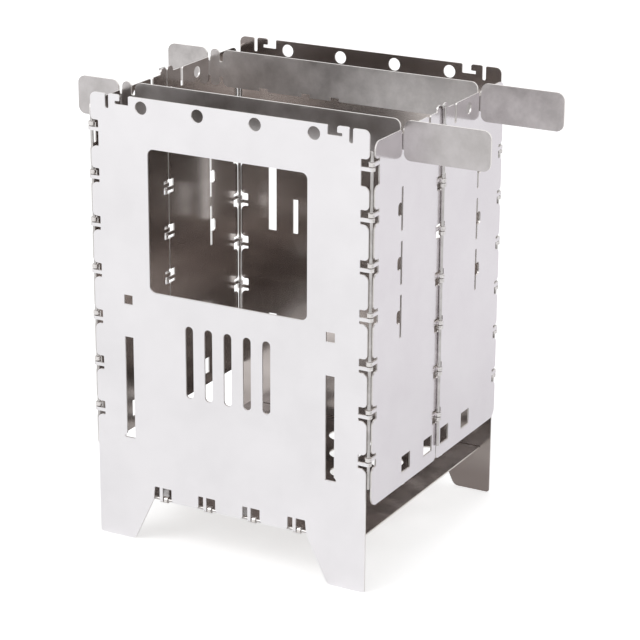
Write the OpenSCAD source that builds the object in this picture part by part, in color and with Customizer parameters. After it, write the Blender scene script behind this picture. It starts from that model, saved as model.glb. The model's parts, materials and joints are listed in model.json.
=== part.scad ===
/* [Overall size] */
// Width over the outer faces of the side walls
stove_w = 159.1; // [150:0.1:175]
// Depth over the outer faces of the front and back panels
stove_d = 146.1; // [130:0.1:160]
// Height of the hooks, the highest edges, above the feet
stove_h = 235; // [215:0.5:250]
// Thickness of the sheet that the panels and walls are cut from
sheet_t = 0.8; // [0.7:0.1:0.9]

/* [Panels] */
// Height of the edge between the legs
panel_bottom = 24.7; // [20:0.1:25]
// Width of a leg at its top
leg_top_w = 32.8; // [30:0.1:32.8]
// Width of a foot
foot_w = 20.9; // [15:0.1:30]
// Distance from the side wall's outer face to the fuel window
window_side = 34.95; // [30:0.05:40]
// Height of the fuel window
window_h = 73.6; // [50:0.1:75]
// Distance from the hooks' top down to the fuel window
window_drop = 25.1; // [20:0.1:30]
// Radius of the fuel window's corners
window_r = 3.2; // [1:0.1:6]
// Radius of the round holes under the top edge
rim_hole_r = 3.35; // [2.5:0.05:3.5]
// Distance from the hooks' top down to the round holes
rim_hole_drop = 5.2; // [5:0.1:8]
// Number of plain vent slots in the middle of the front panel
vent_count = 5; // [3:2:7]
// Distance between the vent slots
vent_pitch = 11; // [9:0.5:12]

/* [Side walls] */
// Height of the walls' bottom edge, above which the draft gap ends
wall_bottom = 45.5; // [40:0.5:50]
// Distance from the hooks' top down to the walls' top edge
wall_drop = 6; // [5:0.5:8]
// Height of the small lugs beside the fold above the walls' top edge
lug_h = 3; // [2.9:0.1:3.5]
// Width of the open slots in the walls
bar_slot_w = 2.3; // [1.8:0.1:2.6]
// Depth of the open slots in the walls
bar_slot_depth = 9.8; // [8:0.1:12]

/* [Hinges] */
// Diameter of the hinge pins
pin_d = 1.6; // [1.4:0.1:1.6]
// Radial running clearance between a pin and its rings
pin_gap = 0.08; // [0.05:0.01:0.1]
// Number of hinge stations along each upright pin
station_count = 7; // [3:1:7]
// Height of the middle of the lowest station
station_first = 69.4; // [66:0.1:75]
// Distance from the hooks' top down to the middle of the highest station
station_drop = 17.76; // [17:0.02:20]
// Height of the window in the sheet at a station
station_h = 7.25; // [7:0.05:8]
// Depth of the window from the sheet's edge
station_depth = 4.4; // [3.5:0.1:5]
// Gap between the two rings of a station
ring_play = 0.6; // [0.2:0.1:0.8]
// Width of the strips that are bent into rings
ring_w = 1.8; // [1.4:0.1:2.2]

/* [Floor plate] */
// Gap between the floor plate and each side wall's outer face
floor_side_gap = 8.35; // [6:0.05:12]
// Gap between the floor plate's rear edge and the back panel
floor_rear_gap = 0.5; // [0.4:0.1:1]
// Radius of the air holes
air_hole_r = 8.7; // [5:0.1:8.7]
// Rows of air holes
air_rows = 5; // [3:2:5]
// Air holes in a long row
air_columns = 5; // [3:2:5]

/* [Pot bars] */
// Height of the pot bars
bar_h = 19.7; // [17:0.1:24]
// Thickness of the pot bars
bar_t = 1; // [0.8:0.1:1.2]
// Distance from the hooks' top down to the pot bars' top edge, which carries the pot
bar_drop = 1.3; // [0:0.1:3]
// Length of the ear outside the left wall, seen from the front
left_ear = 24.95; // [15:0.05:60]
// Length of the ear outside the right wall, seen from the front
right_ear = 45.75; // [15:0.05:60]
// Clearance beside a wall in the notches of the pot bars
bar_play = 0.7; // [0.5:0.1:1]

/* [Hidden] */
$fn = 48;
half_w = stove_w / 2;
fold_y = stove_d / 2;
pin_r = pin_d / 2;
ring_in = pin_r + pin_gap;
ring_out = ring_in + sheet_t;
corner_x = half_w - ring_out;
corner_y = ring_out;
mid_x = half_w + ring_in;
// The sheets stop this far inside the outer face of the sheet they are hinged to
edge_inset = ring_out + 0.5;
panel_edge = half_w - edge_inset;
wall_end_u = fold_y - edge_inset;
corner_u = fold_y - corner_y;
wall_start_u = 0.35;
// A ring's strip stops this far short of the pin's axis, inside the ring's own wall
strip_short = 0.2;
station_top = stove_h - station_drop;
station_pitch = (station_top - station_first) / (station_count - 1);
// The highest corner window reaches this far below the middle of its rings
top_window_reach = 9.64;
window_corner_r = 0.4;
cut = 1;

panel_top = stove_h - 0.2;
panel_corner_r = 3;
// Distances from the panel's side edge to the ear, the hook and the notch beside it
ear_in = panel_edge - 8.67;
hook_out = ear_in - 2;
hook_in = hook_out - 6.4;
notch_under = hook_in + 2.7;
notch_in = hook_in - 5.1;
ear_slot_floor = stove_h - 7.7;
notch_floor = stove_h - 5;
hook_tip = stove_h - 3.3;
leg_gap_top = panel_edge - leg_top_w;
leg_gap_foot = panel_edge - foot_w;
foot_outer_r = 1.5;
foot_inner_r = 4;
window_half_w = half_w - window_side;
window_high = stove_h - window_drop;
window_low = window_high - window_h;
rim_hole_z = stove_h - rim_hole_drop;
rim_hole_pitch = 2 * (notch_in - 7.25) / 3;

side_slot_w = 4.9;
side_slot_out = panel_edge - 17.47;
side_slot_in = side_slot_out - side_slot_w;
side_slot_low = 57.1;
side_slot_high = 110.5;
side_square_low = 127.8;
side_slot_flare = 1.1;
back_slot_low = 128.3;
back_slot_high = 190;
back_square_low = 75;
back_slit_out = side_slot_in - 10.5;
back_slit_w = 3.1;
back_slit_h = 19.3;
vent_w = 4.5;
vent_low = 84;
vent_high = 122;

floor_axis_z = panel_bottom + sheet_t / 2;
floor_station_pitch = 25.9;
floor_station_x = [for (i = [-1.5:1:1.5]) i * floor_station_pitch];
floor_station_half = 5;
floor_station_top = panel_bottom + 7.2;
floor_edge_gap = 1.2;
floor_ring_clear = 0.3;
floor_pin_spare = 2;
floor_pin_half = 1.5 * floor_station_pitch + floor_station_half + floor_pin_spare;
floor_half_w = half_w - floor_side_gap;
air_side_margin = 21.2;
air_hole_pitch = 2 * (floor_half_w - air_side_margin) / (air_columns - 1);
air_first_row_y = 34;
air_last_row_gap = 22.1;
air_row_pitch = (stove_d - air_last_row_gap - air_first_row_y) / (air_rows - 1);

wall_top = stove_h - wall_drop;
lug_top = wall_top + lug_h;
lug_w = 5.6;
wall_low_corner_r = 5;
wall_fold_corner_r = 2.5;
wall_rect_w = 9.5;
wall_rect_low = 52;
wall_rect_high = 60.8;
wall_rect_near_u = 4.8;
wall_rect_far_u = 29.3;
// The bar's slot lies this far inside the panel's outer face
bar_inset = 30.3;
bar_slot_u = fold_y - bar_inset;
spare_slot_u = 14.4;
wall_slit_u = bar_slot_u - 0.25;
wall_slit_w = 1.8;
wall_slit_h = 22;
wall_slit_pitch = 27.2;
wall_slit_count = 3;
wall_slit_drop = 34.1;
wall_slit_top = stove_h - wall_slit_drop;
wall_bulge_h = 7;
wall_bulge_w = 4.3;
wall_bulge_r = 2;
wall_hole_from_slot = 13.15;
wall_hole_drop = 11.6;
wall_hole_u = bar_slot_u - wall_hole_from_slot;
wall_hole_z = stove_h - wall_hole_drop;
wall_hole_r = 3;

pin_chamfer = 0.3;
// The bent end that keeps a pin from dropping out of its rings
bent_leg = 3.9;
pin_under_rings = 14.5;
pin_over_rings = 6.7;
mid_pin_under_rings = 16.2;
corner_pin_low = station_first - pin_under_rings;
corner_pin_high = station_top + pin_over_rings;
mid_pin_low = station_first - mid_pin_under_rings;
mid_pin_high = lug_top - pin_r;

bar_left = -half_w - left_ear;
bar_right = half_w + right_ear;
centre_x = (bar_left + bar_right) / 2;
bar_top = stove_h - bar_drop;
bar_bottom = bar_top - bar_h;
bar_slot_floor = wall_top - bar_slot_depth;
bar_neck_h = 7.8;
bar_neck_top = bar_slot_floor + bar_neck_h;
bar_end_r = 4;
bar_lobe_r = 3.5;
bar_root_r = 0.6;
bar_finger_r = 2.6;
notch_inner = half_w - sheet_t - bar_play;
notch_outer = half_w + bar_play;
bar_finger_w = 5.35;
bar_spare_w = 2.2;
spare_notch_x = -notch_inner + bar_finger_w;
rear_bar_dips = [-45.8, -20.5, -3.3];
dip_w = 5.2;
dip_h = 1.8;

function station_z(k) = station_first + k * station_pitch;
function unit(v) = v / norm(v);
function arc_steps(r) = r < 1 ? 2 : r < 3 ? 4 : 6;

// Points of one rounded corner b between its neighbours a and c
function corner(a, b, c, r) =
    r == 0 ? [b] :
    let (u = unit(a - b), v = unit(c - b), half = acos(max(-1, min(1, u * v))) / 2,
        centre = b + unit(u + v) * r / sin(half),
        from = b + u * r / tan(half) - centre,
        to = b + v * r / tan(half) - centre,
        start = atan2(from[1], from[0]),
        turn = (atan2(to[1], to[0]) - start + 540) % 360 - 180,
        n = arc_steps(r))
    [for (i = [0:n]) centre + r * [cos(start + turn * i / n), sin(start + turn * i / n)]];

// Outline with rounded corners, from a list of [x, y, radius]
function rounded(p) =
    let (n = len(p))
    [for (i = [0:n - 1]) let (a = p[(i + n - 1) % n], b = p[i], c = p[(i + 1) % n])
        each corner([a[0], a[1]], [b[0], b[1]], [c[0], c[1]], b[2])];

function flipped(p) = [for (i = [len(p) - 1:-1:0]) [-p[i][0], p[i][1], p[i][2]]];

// Window at a hinge station on a sheet's edge, read downwards: the strip for this sheet's ring is left
// standing between strip_low and strip_high and ends at tip
function station_window(edge, inner, tip, high, low, strip_high, strip_low, r_above, r_below) = [
    [edge, high, r_above],
    [inner, high, high > strip_high + 1 ? window_corner_r : 0],
    [inner, strip_high, 0],
    [tip, strip_high, 0],
    [tip, strip_low, 0],
    [inner, strip_low, 0],
    [inner, low, low < strip_low - 1 ? window_corner_r : 0],
    [edge, low, r_below]];

function upper_ring_low(k) = station_z(k) + ring_play / 2;
function lower_ring_low(k) = station_z(k) - ring_play / 2 - ring_w;
function window_low_edge(k) = station_z(k) - (k == station_count - 1 ? top_window_reach : station_h / 2);

function panel_edge_points() = [
    for (k = [station_count - 1:-1:0])
        each station_window(panel_edge, panel_edge - station_depth, corner_x - strip_short,
            station_z(k) + station_h / 2, window_low_edge(k),
            lower_ring_low(k) + ring_w, lower_ring_low(k), 2, 3)];

// Right half of a panel's outline, from the top middle clockwise to the leg
function panel_side() = concat([
    [notch_in, panel_top, 0.6],
    [notch_in, notch_floor, 0.3],
    [notch_under, notch_floor, 0.3],
    [notch_under, hook_tip, 0.3],
    [hook_in, hook_tip, 0.4],
    [hook_in, stove_h, 1.2],
    [hook_out, stove_h, 0.8],
    [hook_out, ear_slot_floor, 0.9],
    [ear_in, ear_slot_floor, 0.9],
    [ear_in, panel_top, 0.6],
    [panel_edge, panel_top, panel_corner_r]],
    panel_edge_points(), [
    [panel_edge, 0, foot_outer_r],
    [leg_gap_foot, 0, foot_inner_r],
    [leg_gap_top, panel_bottom, 0.3]]);

// Left end of the front panel's ring at a floor hinge station
function panel_floor_ring_x(x) = x - ring_play / 2 - ring_w;

// Bottom edge's window for one floor hinge station, read from right to left
function floor_window(x) = [
    [x + floor_station_half, panel_bottom, 2],
    [x + floor_station_half, floor_station_top, window_corner_r],
    [x - ring_play / 2, floor_station_top, 0],
    [x - ring_play / 2, floor_axis_z + strip_short, 0],
    [panel_floor_ring_x(x), floor_axis_z + strip_short, 0],
    [panel_floor_ring_x(x), floor_station_top, 0],
    [x - floor_station_half, floor_station_top, window_corner_r],
    [x - floor_station_half, panel_bottom, 2]];

// The outermost windows open into the leg gap's slanted sides, so their outer bottom corners drop out
function floor_windows() =
    let (p = [for (i = [len(floor_station_x) - 1:-1:0]) each floor_window(floor_station_x[i])])
    [for (i = [1:len(p) - 2]) p[i]];

// Raises a drawing made in X and Z so that its sheet starts at y and is t thick
module upright(y, t) {
    translate([0, y + t, 0]) rotate([90, 0, 0]) linear_extrude(t) children();
}

// Rectangle between two corners, with optional corner radius
module opening(x0, z0, x1, z1, r = 0) {
    polygon(rounded([[x0, z0, r], [x1, z0, r], [x1, z1, r], [x0, z1, r]]));
}

module both_sides() {
    children();
    mirror([1, 0]) children();
}

module rim_holes() {
    for (i = [-1.5:1:1.5]) translate([i * rim_hole_pitch, rim_hole_z]) circle(rim_hole_r);
}

// One hinge ring, standing on z with its axis at the origin
module ring(h) {
    difference() {
        cylinder(r = ring_out, h = h);
        translate([0, 0, -cut]) cylinder(r = ring_in, h = h + 2 * cut);
    }
}

module panel_rings(y) {
    for (k = [0:station_count - 1], side = [-1, 1])
        translate([side * corner_x, y, lower_ring_low(k)]) ring(ring_w);
}

// Hinge pin standing on the origin, with its lower end chamfered and its top bent over towards +X
module pin(length) {
    union() {
        rotate_extrude() polygon([
            [0, 0],
            [pin_r - pin_chamfer, 0],
            [pin_r, pin_chamfer],
            [pin_r, length],
            [0, length]]);
        translate([0, 0, length]) {
            sphere(pin_r);
            rotate([0, 90, 0]) cylinder(h = bent_leg, r = pin_r);
        }
    }
}

module front_panel_drawing() {
    difference() {
        polygon(rounded(concat(panel_side(), floor_windows(), flipped(panel_side()))));
        opening(-window_half_w, window_low, window_half_w, window_high, window_r);
        rim_holes();
        both_sides() {
            polygon([
                [side_slot_in, side_slot_low],
                [side_slot_in, side_slot_high],
                [side_slot_out, side_slot_high],
                [side_slot_out, side_slot_low + side_slot_flare],
                [side_slot_out + side_slot_flare, side_slot_low],
                [side_slot_out + side_slot_flare, side_slot_low - side_slot_flare],
                [side_slot_in, side_slot_low - side_slot_flare]]);
            opening(side_slot_in, side_square_low, side_slot_out, side_square_low + side_slot_w);
        }
        for (i = [0:vent_count - 1])
            translate([(i - (vent_count - 1) / 2) * vent_pitch, 0])
                opening(-vent_w / 2, vent_low, vent_w / 2, vent_high, vent_w / 2 - 0.05);
    }
}

module front_panel() {
    color("gainsboro") union() {
        upright(0, sheet_t) front_panel_drawing();
        panel_rings(corner_y);
        for (x = floor_station_x)
            translate([panel_floor_ring_x(x), corner_y, floor_axis_z]) rotate([0, 90, 0]) ring(ring_w);
    }
}

module back_panel_drawing() {
    difference() {
        polygon(rounded(concat(panel_side(), flipped(panel_side()))));
        rim_holes();
        both_sides() {
            opening(side_slot_in, back_slot_low, side_slot_out, back_slot_high);
            opening(side_slot_in, back_square_low, side_slot_out, back_square_low + side_slot_w);
            opening(back_slit_out - back_slit_w, back_slot_low, back_slit_out, back_slot_low + back_slit_h);
        }
    }
}

module back_panel() {
    color("gainsboro") union() {
        upright(stove_d - sheet_t, sheet_t) back_panel_drawing();
        panel_rings(stove_d - corner_y);
    }
}

function wall_corner_edge() = [
    for (k = [station_count - 1:-1:0])
        each station_window(wall_end_u, wall_end_u - station_depth, corner_u - strip_short,
            station_z(k) + station_h / 2, window_low_edge(k),
            upper_ring_low(k) + ring_w, upper_ring_low(k), 2, 3)];

// The fold's edge, read upwards; the ring is the upper or the lower one of each station
function wall_fold_edge(upper) = [
    for (k = [0:station_count - 1])
        let (low = upper ? upper_ring_low(k) : lower_ring_low(k),
            window = station_window(wall_start_u, wall_start_u + station_depth, strip_short,
                station_z(k) + station_h / 2, station_z(k) - station_h / 2, low + ring_w, low, 1, 1))
            for (i = [len(window) - 1:-1:0]) window[i]];

function open_slot(u) = [
    [u - bar_slot_w / 2, wall_top, 0.8],
    [u - bar_slot_w / 2, bar_slot_floor, 0],
    [u + bar_slot_w / 2, bar_slot_floor, 0],
    [u + bar_slot_w / 2, wall_top, 0.8]];

// A wall half's outline, in distance from the fold and height, read clockwise from the lug
function wall_outline(upper) = concat([
    [wall_start_u, lug_top, 2.4],
    [wall_start_u + lug_w, lug_top, 2.4],
    [wall_start_u + lug_w, wall_top, 0.4]],
    open_slot(spare_slot_u), open_slot(bar_slot_u), [
    [wall_end_u, wall_top, 4]],
    wall_corner_edge(), [
    [wall_end_u, wall_bottom, wall_low_corner_r],
    [wall_start_u, wall_bottom, wall_fold_corner_r]],
    wall_fold_edge(upper));

module wall_drawing(upper) {
    difference() {
        polygon(rounded(wall_outline(upper)));
        for (u = [wall_rect_near_u, wall_rect_far_u])
            opening(u, wall_rect_low, u + wall_rect_w, wall_rect_high);
        for (i = [0:wall_slit_count - 1]) translate([wall_slit_u, wall_slit_top - i * wall_slit_pitch]) {
            opening(-wall_slit_w / 2, -wall_slit_h, wall_slit_w / 2, 0);
            translate([0, -wall_slit_h / 2])
                opening(0, -wall_bulge_h / 2, wall_bulge_w, wall_bulge_h / 2, wall_bulge_r);
        }
        translate([wall_hole_u, wall_hole_z]) circle(wall_hole_r);
    }
}

// One half of the right wall: the sheet lies inside half_w, and runs from the fold towards dir (-1 front)
module wall_half(dir) {
    upper = dir < 0;
    translate([half_w, fold_y, 0]) mirror([0, dir < 0 ? 1 : 0, 0]) {
        rotate([0, 0, 90]) upright(0, sheet_t) wall_drawing(upper);
        for (k = [0:station_count - 1]) {
            translate([corner_x - half_w, corner_u, upper_ring_low(k)]) ring(ring_w);
            translate([ring_in, 0, upper ? upper_ring_low(k) : lower_ring_low(k)]) ring(ring_w);
        }
    }
}

module right_front_wall() {
    color("thistle") wall_half(-1);
}

module right_rear_wall() {
    color("thistle") wall_half(1);
}

module left_front_wall() {
    color("thistle") mirror([1, 0, 0]) wall_half(-1);
}

module left_rear_wall() {
    color("thistle") mirror([1, 0, 0]) wall_half(1);
}

// Corner pin, with its bent end lying along the inside of its panel
module corner_pin(x, y) {
    color("silver") translate([x, y, corner_pin_low]) mirror([x > 0 ? 1 : 0, 0, 0])
        pin(corner_pin_high - corner_pin_low);
}

// Pin of a fold, with its bent end lying along the outside of the front half of the wall
module mid_pin(x) {
    color("silver") translate([x, fold_y, mid_pin_low]) rotate([0, 0, -90])
        pin(mid_pin_high - mid_pin_low);
}

// The bent end stands up behind the front panel
module floor_hinge_pin() {
    color("silver") translate([-floor_pin_half, corner_y, floor_axis_z]) rotate([0, 90, 0])
        rotate([0, 0, 180]) pin(2 * floor_pin_half);
}

// Plan of the floor plate, with notches for the front panel's rings
module floor_drawing() {
    front = corner_y + floor_edge_gap;
    rear = stove_d - sheet_t - floor_rear_gap;
    difference() {
        translate([-floor_half_w, front]) square([2 * floor_half_w, rear - front]);
        for (x = floor_station_x)
            translate([panel_floor_ring_x(x) - floor_ring_clear, front - cut])
                square([ring_play / 2 + ring_w + floor_ring_clear,
                    ring_out - floor_edge_gap + floor_ring_clear + cut]);
        for (row = [0:air_rows - 1])
            let (n = (air_columns - 1 - row % 2) / 2)
                for (i = [-n:1:n])
                    translate([i * air_hole_pitch, air_first_row_y + row * air_row_pitch])
                        circle(air_hole_r);
    }
}

module floor_plate() {
    color("dimgray") union() {
        translate([0, 0, floor_axis_z - sheet_t / 2]) linear_extrude(sheet_t) floor_drawing();
        for (x = floor_station_x)
            translate([x + ring_play / 2, corner_y, floor_axis_z]) rotate([0, 90, 0]) ring(ring_w);
    }
}

// Notch pair's corner points at one wall: x runs outwards from inner to outer
function bar_notch(inner, outer, r_inner, r_outer) = [
    [inner, bar_top, r_inner],
    [inner, bar_neck_top, bar_root_r],
    [outer, bar_neck_top, bar_root_r],
    [outer, bar_top, r_outer]];

function dropped(p) = [
    for (i = [len(p) - 1:-1:0])
        [p[i][0], p[i][1] == bar_top ? bar_bottom : bar_slot_floor, p[i][2]]];

// Upper edge of a pot bar, from left to right
function bar_upper() = concat(
    [[bar_left, bar_top, bar_end_r]],
    bar_notch(-notch_outer, -notch_inner, bar_lobe_r, bar_finger_r),
    bar_notch(spare_notch_x, spare_notch_x + bar_spare_w, bar_finger_r, bar_lobe_r),
    bar_notch(notch_inner, notch_outer, bar_lobe_r, bar_lobe_r),
    [[bar_right, bar_top, bar_end_r]]);

module pot_bar(y) {
    color("darkgray") upright(y - bar_t / 2, bar_t) difference() {
        polygon(rounded(concat(bar_upper(), dropped(bar_upper()))));
        children();
    }
}

module front_pot_bar() {
    pot_bar(fold_y - bar_slot_u);
}

module rear_pot_bar() {
    pot_bar(fold_y + bar_slot_u)
        for (x = rear_bar_dips) translate([x - dip_w / 2, bar_bottom - cut])
            square([dip_w, dip_h + cut]);
}

// The origin is under the middle of the overall box, on the ground
module placed() {
    translate([-centre_x, -fold_y, 0]) children();
}

placed() front_panel();
placed() back_panel();
placed() left_front_wall();
placed() left_rear_wall();
placed() right_front_wall();
placed() right_rear_wall();
placed() corner_pin(-corner_x, corner_y);  // front_left_pin
placed() corner_pin(corner_x, corner_y);  // front_right_pin
placed() corner_pin(-corner_x, stove_d - corner_y);  // rear_left_pin
placed() corner_pin(corner_x, stove_d - corner_y);  // rear_right_pin
placed() mid_pin(-mid_x);  // mid_left_pin
placed() mid_pin(mid_x);  // mid_right_pin
placed() floor_plate();
placed() floor_hinge_pin();
placed() front_pot_bar();
placed() rear_pot_bar();
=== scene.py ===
import json
import math

import bmesh
import bpy
from mathutils import Matrix, Vector


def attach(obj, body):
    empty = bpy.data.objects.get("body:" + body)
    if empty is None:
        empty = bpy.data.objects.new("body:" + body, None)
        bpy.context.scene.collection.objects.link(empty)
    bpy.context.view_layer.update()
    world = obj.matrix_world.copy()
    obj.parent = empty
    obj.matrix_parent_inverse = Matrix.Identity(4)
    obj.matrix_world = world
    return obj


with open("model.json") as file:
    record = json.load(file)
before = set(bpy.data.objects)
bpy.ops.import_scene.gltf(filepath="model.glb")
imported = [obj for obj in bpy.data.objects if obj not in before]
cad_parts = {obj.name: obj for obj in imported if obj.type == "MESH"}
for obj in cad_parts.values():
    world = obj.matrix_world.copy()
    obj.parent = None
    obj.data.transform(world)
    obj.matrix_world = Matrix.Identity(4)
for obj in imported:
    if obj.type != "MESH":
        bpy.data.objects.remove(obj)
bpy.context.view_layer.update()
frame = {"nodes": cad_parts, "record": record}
nodes = frame["nodes"]
mm = 0.001
print("frame loaded:", len(nodes), "nodes")


def hexColour(code):
    # sRGB hex code to the linear colour that the shaders take
    channels = [int(code[i:i + 2], 16) / 255 for i in (0, 2, 4)]
    linear = [c / 12.92 if c <= 0.04045 else ((c + 0.055) / 1.055) ** 2.4 for c in channels]
    return (*linear, 1.0)


def addNode(tree, kind, settings=None, links=None):
    # settings: property or input values; links: input name or number to an output socket
    made = tree.nodes.new(kind)
    for name, value in (settings or {}).items():
        if isinstance(name, str) and hasattr(made, name):
            setattr(made, name, value)
        else:
            made.inputs[name].default_value = value
    for name, source in (links or {}).items():
        tree.links.new(source, made.inputs[name])
    return made


def newMaterial(name):
    material = bpy.data.materials.new(name)
    material.use_nodes = True
    tree = material.node_tree
    shader = tree.nodes["Principled BSDF"]
    return material, tree, shader


# camera: a long lens in front of the right corner, fitted to the photograph. Angles in degrees, place in metres
cameraSettings = {
    "azimuth": 28.594,
    "elevation": 19.054,
    "roll": 0.302,
    "place": (0.564863, -1.033465, 0.515902),
    "focalPixels": 2417.1,
    "framePixels": 640,
    "sensor": 36.0,
    "clip": (0.01, 50.0),
}


def makeCamera(s):
    turn, lift, roll = (math.radians(s[k]) for k in ("azimuth", "elevation", "roll"))
    ahead = Vector((-math.sin(turn) * math.cos(lift), math.cos(turn) * math.cos(lift), -math.sin(lift)))
    right = ahead.cross(Vector((0, 0, 1))).normalized()
    above = right.cross(ahead)
    rightRolled = math.cos(roll) * right + math.sin(roll) * above
    aboveRolled = -math.sin(roll) * right + math.cos(roll) * above
    data = bpy.data.cameras.new("camera")
    data.sensor_width = s["sensor"]
    data.lens = s["focalPixels"] / s["framePixels"] * s["sensor"]
    data.clip_start, data.clip_end = s["clip"]
    camera = bpy.data.objects.new("camera", data)
    bpy.context.scene.collection.objects.link(camera)
    turned = Matrix((rightRolled, aboveRolled, -ahead)).transposed().to_4x4()
    camera.matrix_world = Matrix.Translation(Vector(s["place"])) @ turned
    bpy.context.scene.camera = camera


makeCamera(cameraSettings)
print("camera placed")

# studio: a white paper sweep, a soft key from the upper left, a weaker fill from the right, and a pale surround.
# Sizes and places in metres
studioSettings = {
    "floorSize": 12.0,
    "floorColour": "F2F2F2",
    "floorRoughness": 0.9,
    "floorSpecular": 0.1,
    "floorGlowSeen": 0.62,      # lifts the paper to white where the camera sees it
    "floorGlowGloss": 0.32,     # and where metal mirrors it
    "surroundColour": "FFFFFF",
    "surroundSeen": 1.0,
    "surroundLight": 0.55,
    "keyPower": 24.0,
    "keySize": 1.6,
    "keyPlace": (-1.3, -1.7, 2.2),
    "fillPower": 9.0,
    "fillSize": 2.0,
    "fillPlace": (2.2, -0.6, 1.5),
    "lampTarget": (0, 0, 0.1),
}


def seenDirectly(tree):
    # 1 for camera, glossy and transmission rays, 0 for the light that falls on the object
    path = addNode(tree, "ShaderNodeLightPath")
    seen = addNode(tree, "ShaderNodeMath", {"operation": "MAXIMUM"},
                   {0: path.outputs["Is Camera Ray"], 1: path.outputs["Is Glossy Ray"]})
    return addNode(tree, "ShaderNodeMath", {"operation": "MAXIMUM"},
                   {0: seen.outputs[0], 1: path.outputs["Is Transmission Ray"]}).outputs[0]


def makeFloor(s):
    # matt white paper, which scatters all light and keeps the stove's faint shadow
    mesh = bpy.data.meshes.new("floor")
    half = s["floorSize"] / 2
    mesh.from_pydata([(-half, -half, 0), (half, -half, 0), (half, half, 0), (-half, half, 0)], [], [(0, 1, 2, 3)])
    floor = bpy.data.objects.new("floor", mesh)
    bpy.context.scene.collection.objects.link(floor)
    material, tree, shader = newMaterial("paperSweep")
    shader.inputs["Base Color"].default_value = hexColour(s["floorColour"])
    shader.inputs["Roughness"].default_value = s["floorRoughness"]
    shader.inputs["Specular IOR Level"].default_value = s["floorSpecular"]
    shader.inputs["Emission Color"].default_value = hexColour(s["floorColour"])
    path = addNode(tree, "ShaderNodeLightPath")
    gloss = addNode(tree, "ShaderNodeMath", {"operation": "MULTIPLY", 1: s["floorGlowGloss"]},
                    {0: path.outputs["Is Glossy Ray"]})
    seen = addNode(tree, "ShaderNodeMath", {"operation": "MULTIPLY", 1: s["floorGlowSeen"]},
                   {0: path.outputs["Is Camera Ray"]})
    glow = addNode(tree, "ShaderNodeMath", {"operation": "MAXIMUM"}, {0: gloss.outputs[0], 1: seen.outputs[0]})
    tree.links.new(glow.outputs[0], shader.inputs["Emission Strength"])
    mesh.materials.append(material)


def makeWorld(s):
    world = bpy.data.worlds.new("surround")
    bpy.context.scene.world = world
    world.use_nodes = True
    tree = world.node_tree
    strength = addNode(tree, "ShaderNodeMapRange", {3: s["surroundLight"], 4: s["surroundSeen"]},
                       {0: seenDirectly(tree)})
    background = tree.nodes["Background"]
    background.inputs["Color"].default_value = hexColour(s["surroundColour"])
    tree.links.new(strength.outputs[0], background.inputs["Strength"])


def makeLamp(name, s):
    data = bpy.data.lights.new(name + "Lamp", "AREA")
    data.energy = s[name + "Power"]
    data.size = s[name + "Size"]
    lamp = bpy.data.objects.new(name + "Lamp", data)
    bpy.context.scene.collection.objects.link(lamp)
    place = Vector(s[name + "Place"])
    lamp.location = place
    lamp.rotation_euler = (Vector(s["lampTarget"]) - place).to_track_quat("-Z", "Y").to_euler()


makeFloor(studioSettings)
makeWorld(studioSettings)
bpy.context.scene.view_settings.view_transform = "Standard"
makeLamp("key", studioSettings)
makeLamp("fill", studioSettings)
print("studio lit")

# stainless steels. Each has a light and a dark tone, the same for its inner side, which on the panel and wall sheets
# is a darker painted shade, and one for cut edges and bends: the bends' tone is a painted shade, and on the floor
# plate and the bars the cut edges' tone is a painted highlight.
# Roughness is that of the dark and of the light spots, and faces is the way that the sheet faces. Grain, clouds and
# bands are in mm
steelSettings = {
    # cold rolled sheet, satin: pale and even outside, with soft mirror images
    "satinPanelSteel": {
        "light": "ECEAEC", "dark": "E6E4E6", "inner": "D2CAC6", "innerDark": "B0A8A4", "edge": "E4E1DF",
        "bend": "E2DEDC", "roughness": (0.17, 0.22), "bump": 0.006, "grain": 1.5, "cloud": 40, "band": 22,
        "faces": (0, 1, 0),
    },
    # the same sheet from another coil, a little more violet and glossier
    "satinWallSteel": {
        "light": "E8E4E8", "dark": "E2DDE2", "inner": "D2CAC6", "innerDark": "B0A8A4", "edge": "E4E1DF",
        "bend": "E2DEDC", "roughness": (0.15, 0.20), "bump": 0.006, "grain": 1.5, "cloud": 40, "band": 22,
        "faces": (1, 0, 0),
    },
    # cold rolled sheet, bright: it mirrors the chamber more sharply, and its broad light and dark patches are painted
    # reflection
    "brightFloorSteel": {
        "light": "E2E0E1", "dark": "928F8F", "inner": "C0BAB5", "innerDark": "B4AEA9", "edge": "DAD5D0",
        "bend": "E2DEDC", "roughness": (0.07, 0.14), "bump": 0.006, "grain": 1.5, "cloud": 24, "band": 22,
        "faces": (0, 0, 1),
    },
    # hot rolled and pickled plate: greyer, matt and cloudy, with a painted highlight on its cut edges and a darker
    # painted shade on its bends
    "pickledBarSteel": {
        "light": "CBC7C7", "dark": "B8B4B3", "inner": "D0CCCB", "innerDark": "B4B0AF", "edge": "F2EFEC",
        "bend": "B2AEAD", "roughness": (0.32, 0.38), "bump": 0.02, "grain": 0.5, "cloud": 13, "band": 0,
        "faces": (0, 1, 0),
    },
    # drawn wire: glossy, with narrow bright and dark lines along it
    "drawnPinSteel": {
        "light": "CAC7C6", "dark": "AEABA9", "inner": "D0CDCB", "innerDark": "B4B1AF", "roughness": (0.08, 0.16),
        "bump": 0.02, "grain": 0.3, "cloud": 6, "band": 0, "faces": None,
    },
    # strips bent round a mandrel, which burnishes them: bright, with small dull spots
    "bentRingSteel": {
        "light": "EAE7E6", "dark": "B6B2B0", "inner": "E8E5E4", "innerDark": "B4B0AE", "roughness": (0.10, 0.20),
        "bump": 0.01, "grain": 0.3, "cloud": 1.4, "band": 0, "faces": None,
    },
}
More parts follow.
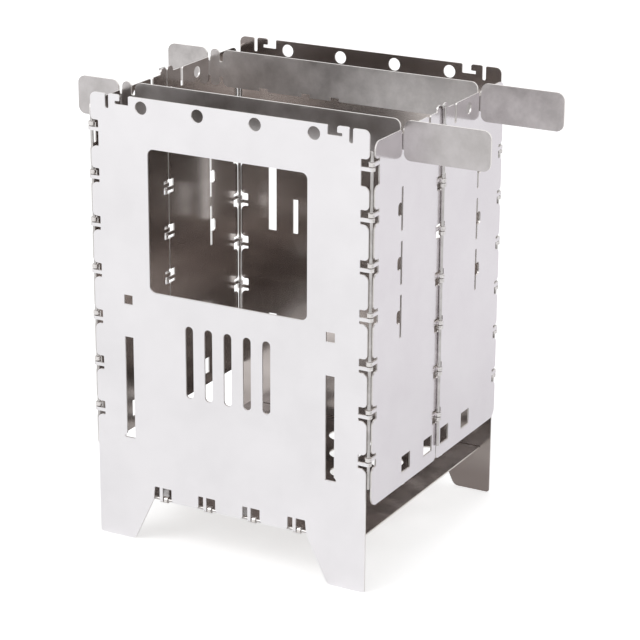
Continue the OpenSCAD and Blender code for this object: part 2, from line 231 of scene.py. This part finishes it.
# what all the steels share
finishSettings = {
    "axisX": -10.4,             # the chamber's upright axis, in mm from the model's origin
    "softness": 4.0,            # over how many mm behind the axis the inner tone, a painted shade on the sheets, comes in
    "ashColour": "998F8B",      # painted shade on the legs' inner sides below the floor plate
    "legShadeTop": 23.0,
    "legShadeFade": 14.0,
    "noise": (0.35, 0.65),      # the part of a noise's range that carries the pattern
    "bend": (0.95, 0.85),       # cosines of a face's turn off the sheet, where a bend's tone starts and is full
    "edge": (0.2, 0.05),        # and the same for a cut edge
    "edgeRoughness": 0.42,      # laser cut, matt
    "grainStretch": 0.04,       # rolling marks run up the sheet
    "bandStretch": 0.12,        # and the bands run level
    "bumpDepth": 0.02,          # in mm
    "anisotropy": 0.5,
    "grainNoise": (3.0, 0.6),   # each noise's detail and roughness
    "cloudNoise": (5.0, 0.65),
    "bandNoise": (2.0, 0.5),
}


def share(tree, source, span):
    # 0 to 1 as the source goes from the span's first value to its last
    return addNode(tree, "ShaderNodeMapRange", {1: span[0], 2: span[1]}, {0: source}).outputs[0]


def blended(tree, amount, *colours):
    # from the first colour to the second, each a hex code or a socket
    settings, links = {"data_type": "RGBA"}, {0: amount}
    for socket, colour in zip((6, 7), colours):
        if isinstance(colour, str):
            settings[socket] = hexColour(colour)
        else:
            links[socket] = colour
    return addNode(tree, "ShaderNodeMix", settings, links).outputs[2]


def noise(tree, size, character, stretch=None):
    # spots of the given size in mm, made longer along the ways where stretch is small
    place = addNode(tree, "ShaderNodeTexCoord").outputs["Object"]
    if stretch:
        place = addNode(tree, "ShaderNodeMapping", {"Scale": stretch}, {"Vector": place}).outputs[0]
    settings = {"Scale": 1 / (size * mm), "Detail": character[0], "Roughness": character[1]}
    return addNode(tree, "ShaderNodeTexNoise", settings, {"Vector": place}).outputs[0]


def insideShare(tree, s):
    # 1 on faces that look towards the chamber's upright axis, which take the inner tone: a darker painted shade on the
    # panel and wall sheets
    place = addNode(tree, "ShaderNodeTexCoord")
    fromAxis = addNode(tree, "ShaderNodeVectorMath", {"operation": "SUBTRACT", 1: (s["axisX"] * mm, 0, 0)},
                       {0: place.outputs["Object"]})
    facing = addNode(tree, "ShaderNodeVectorMath", {"operation": "DOT_PRODUCT"},
                     {0: fromAxis.outputs[0], 1: place.outputs["Normal"]})
    return share(tree, facing.outputs["Value"], (0.0, -s["softness"] * mm))


def acrossSheet(tree, faces):
    # 1 on a sheet's faces, 0 on its cut edges, and between them on the strips that are bent into rings
    place = addNode(tree, "ShaderNodeTexCoord")
    across = addNode(tree, "ShaderNodeVectorMath", {"operation": "DOT_PRODUCT", 1: faces},
                     {0: place.outputs["Normal"]})
    return addNode(tree, "ShaderNodeMath", {"operation": "ABSOLUTE"}, {0: across.outputs["Value"]}).outputs[0]


def innerColour(tree, cloudy, s, f):
    # inner sides: painted shade, in broad level bands of painted reflection, and a darker painted shade below the
    # floor plate
    pattern = cloudy
    if s["band"]:
        bands = noise(tree, s["band"], f["bandNoise"], (f["bandStretch"], f["bandStretch"], 1.0))
        pattern = share(tree, bands, f["noise"])
    sooty = blended(tree, pattern, s["innerDark"], s["inner"])
    place = addNode(tree, "ShaderNodeTexCoord")
    height = addNode(tree, "ShaderNodeSeparateXYZ", None, {0: place.outputs["Object"]}).outputs[2]
    # painted shade on the legs' inner sides below the floor plate
    low = share(tree, height, ((f["legShadeTop"] + f["legShadeFade"]) * mm, (f["legShadeTop"] - f["legShadeFade"]) * mm))
    return blended(tree, low, sooty, f["ashColour"])


def makeSteel(name, s, f):
    # satin stainless: soft mirror images, drawn out by the rolling marks. The marks are drawn 0.3 to 1.5 mm wide,
    # coarser than the real ones, so that they show
    material, tree, shader = newMaterial(name)
    grain = noise(tree, s["grain"], f["grainNoise"], (1.0, 1.0, f["grainStretch"]))
    cloudy = share(tree, noise(tree, s["cloud"], f["cloudNoise"]), f["noise"])
    colour = blended(tree, cloudy, s["dark"], s["light"])
    # inner faces take the inner tone, a painted shade on the panel and wall sheets
    colour = blended(tree, insideShare(tree, f), colour, innerColour(tree, cloudy, s, f))
    rough = addNode(tree, "ShaderNodeMapRange", {3: s["roughness"][0], 4: s["roughness"][1]}, {0: cloudy}).outputs[0]
    if s["faces"]:
        across = acrossSheet(tree, s["faces"])
        # the cut edges' tone is a painted highlight on the floor plate and the bars
        edge = share(tree, across, f["edge"])
        # the bent strips' tone is a painted shade
        colour = blended(tree, share(tree, across, f["bend"]), colour, s["bend"])
        colour = blended(tree, edge, colour, s["edge"])
        rough = addNode(tree, "ShaderNodeMix", {3: f["edgeRoughness"]}, {0: edge, 2: rough}).outputs[0]
    bump = addNode(tree, "ShaderNodeBump", {"Strength": s["bump"], "Distance": f["bumpDepth"] * mm}, {"Height": grain})
    tree.links.new(colour, shader.inputs["Base Color"])
    tree.links.new(rough, shader.inputs["Roughness"])
    tree.links.new(bump.outputs[0], shader.inputs["Normal"])
    shader.inputs["Metallic"].default_value = 1.0
    shader.inputs["Anisotropic"].default_value = f["anisotropy"]
    return material


steels = {name: makeSteel(name, s, finishSettings) for name, s in steelSettings.items()}
steelOfSlot = {
    "panel_sheet": "satinPanelSteel",
    "wall_sheet": "satinWallSteel",
    "floor_sheet": "brightFloorSteel",
    "bar_sheet": "pickledBarSteel",
    "pin_wire": "drawnPinSteel",
}


def dressNodes():
    slotOf = {p["node"]: p["material_slot"] for p in frame["record"]["subparts"]}
    for name, piece in nodes.items():
        piece.data.materials.clear()
        piece.data.materials.append(steels[steelOfSlot[slotOf[name]]])


dressNodes()
print("nodes dressed")

# hinge rings: rolled lips over the strips that are bent around the pins, in mm from the stove's front middle
ringSettings = {
    "toOrigin": (-10.4, -73.05, 0.0),    # from there to the middle of the whole stove, bars included
    "cornerX": 77.87,           # corner hinges
    "cornerY": 1.70,
    "depth": 146.1,
    "foldX": 80.43,             # fold lines of the side walls
    "foldY": 73.05,
    "firstStation": 69.4,       # height of the lowest pair of rings
    "stationPitch": 24.64,
    "stations": 7,
    "offMiddle": 1.2,           # a ring's middle lies this far above or below the middle of its station
    "floorHeight": 25.1,        # floor plate's hinge
    "floorPitch": 25.9,
    "floorStations": 4,
    "radius": 1.29,             # middle of the ring's wall
    "wall": 0.82,
    "width": 1.9,
    "rounding": 0.32,
    "roundSteps": 3,
    "turns": 28,                # steps round a ring
}


def makeRingTree():
    tree = bpy.data.node_groups.new("ringRows", "GeometryNodeTree")
    sockets = [("Starts", "Geometry"), ("Stations", "Int"), ("Step", "Vector"), ("Turn", "Vector"),
               ("Radius", "Float"), ("Wall", "Float"), ("Width", "Float"), ("Rounding", "Float"),
               ("Round Steps", "Int"), ("Turns", "Int"), ("Finish", "Material")]
    for label, kind in sockets:
        tree.interface.new_socket(label, in_out="INPUT", socket_type="NodeSocket" + kind)
    tree.interface.new_socket("Rings", in_out="OUTPUT", socket_type="NodeSocketGeometry")
    given = addNode(tree, "NodeGroupInput").outputs
    row = addNode(tree, "GeometryNodeMeshLine", {"mode": "OFFSET"},
                  {"Count": given["Stations"], "Offset": given["Step"]})
    rows = addNode(tree, "GeometryNodeInstanceOnPoints", None, {"Points": given["Starts"], "Instance": row.outputs[0]})
    places = addNode(tree, "GeometryNodeRealizeInstances", None, {"Geometry": rows.outputs[0]})
    section = addNode(tree, "GeometryNodeCurvePrimitiveQuadrilateral", None,
                      {"Width": given["Wall"], "Height": given["Width"]})
    rounded = addNode(tree, "GeometryNodeFilletCurve", {"mode": "POLY"},
                      {"Curve": section.outputs[0], "Count": given["Round Steps"], "Radius": given["Rounding"]})
    path = addNode(tree, "GeometryNodeCurvePrimitiveCircle", None,
                   {"Resolution": given["Turns"], "Radius": given["Radius"]})
    ring = addNode(tree, "GeometryNodeCurveToMesh", None,
                   {"Curve": path.outputs[0], "Profile Curve": rounded.outputs[0]})
    smooth = addNode(tree, "GeometryNodeSetShadeSmooth", None, {"Geometry": ring.outputs[0]})
    turn = addNode(tree, "FunctionNodeEulerToRotation", None, {0: given["Turn"]})
    rings = addNode(tree, "GeometryNodeInstanceOnPoints", None,
                    {"Points": places.outputs[0], "Instance": smooth.outputs[0], "Rotation": turn.outputs[0]})
    solid = addNode(tree, "GeometryNodeRealizeInstances", None, {"Geometry": rings.outputs[0]})
    finished = addNode(tree, "GeometryNodeSetMaterial", None,
                       {"Geometry": solid.outputs[0], "Material": given["Finish"]})
    addNode(tree, "NodeGroupOutput", None, {0: finished.outputs[0]})
    return tree


def ringRow(tree, starts, count, step, turn, s):
    # one run of the tree: a row of rings from each start, as a plain mesh
    mesh = bpy.data.meshes.new("starts")
    mesh.from_pydata([[(c + o) * mm for c, o in zip(start, s["toOrigin"])] for start in starts], [], [])
    holder = bpy.data.objects.new("starts", mesh)
    bpy.context.scene.collection.objects.link(holder)
    modifier = holder.modifiers.new("rings", "NODES")
    modifier.node_group = tree
    values = {"Stations": count, "Step": [c * mm for c in step], "Turn": turn, "Finish": steels["bentRingSteel"],
              "Radius": s["radius"] * mm, "Wall": s["wall"] * mm, "Width": s["width"] * mm,
              "Rounding": s["rounding"] * mm, "Round Steps": s["roundSteps"], "Turns": s["turns"]}
    for item in tree.interface.items_tree:
        if item.in_out == "INPUT" and item.name in values:
            modifier[item.identifier] = values[item.name]
    made = bpy.data.meshes.new_from_object(holder.evaluated_get(bpy.context.evaluated_depsgraph_get()))
    bpy.data.objects.remove(holder)
    return made


def makeRings(s):
    tree = makeRingTree()
    low, high = s["firstStation"] - s["offMiddle"], s["firstStation"] + s["offMiddle"]
    rear = s["depth"] - s["cornerY"]
    upwards = (s["stations"], (0, 0, s["stationPitch"]), (0, 0, 0))
    sideways = (s["floorStations"], (s["floorPitch"], 0, 0), (0, math.pi / 2, 0))
    firstFloorX = -(s["floorStations"] - 1) / 2 * s["floorPitch"]
    floorStart = {side: (firstFloorX + side * s["offMiddle"], s["cornerY"], s["floorHeight"]) for side in (-1, 1)}
    rows = {
        "front": [([(-s["cornerX"], s["cornerY"], low), (s["cornerX"], s["cornerY"], low)], upwards),
                  ([floorStart[-1]], sideways)],
        "back": [([(-s["cornerX"], rear, low), (s["cornerX"], rear, low)], upwards)],
        "floor": [([floorStart[1]], sideways)],
    }
    for side, sign in (("left", -1), ("right", 1)):
        rows[side + "_front"] = [([(sign * s["cornerX"], s["cornerY"], high),
                                   (sign * s["foldX"], s["foldY"], high)], upwards)]
        rows[side + "_rear"] = [([(sign * s["cornerX"], rear, high), (sign * s["foldX"], s["foldY"], low)], upwards)]
    for body, parts in rows.items():
        joined = bmesh.new()
        for starts, (count, step, turn) in parts:
            joined.from_mesh(ringRow(tree, starts, count, step, turn, s))
        bmesh.ops.recalc_face_normals(joined, faces=joined.faces)
        mesh = bpy.data.meshes.new(body + "_rings")
        joined.to_mesh(mesh)
        joined.free()
        mesh.materials.append(steels["bentRingSteel"])
        piece = bpy.data.objects.new(body + "_rings", mesh)
        bpy.context.scene.collection.objects.link(piece)
        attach(piece, body)
        print(piece.name, len(mesh.polygons), "faces")


makeRings(ringSettings)
print("rings rolled")
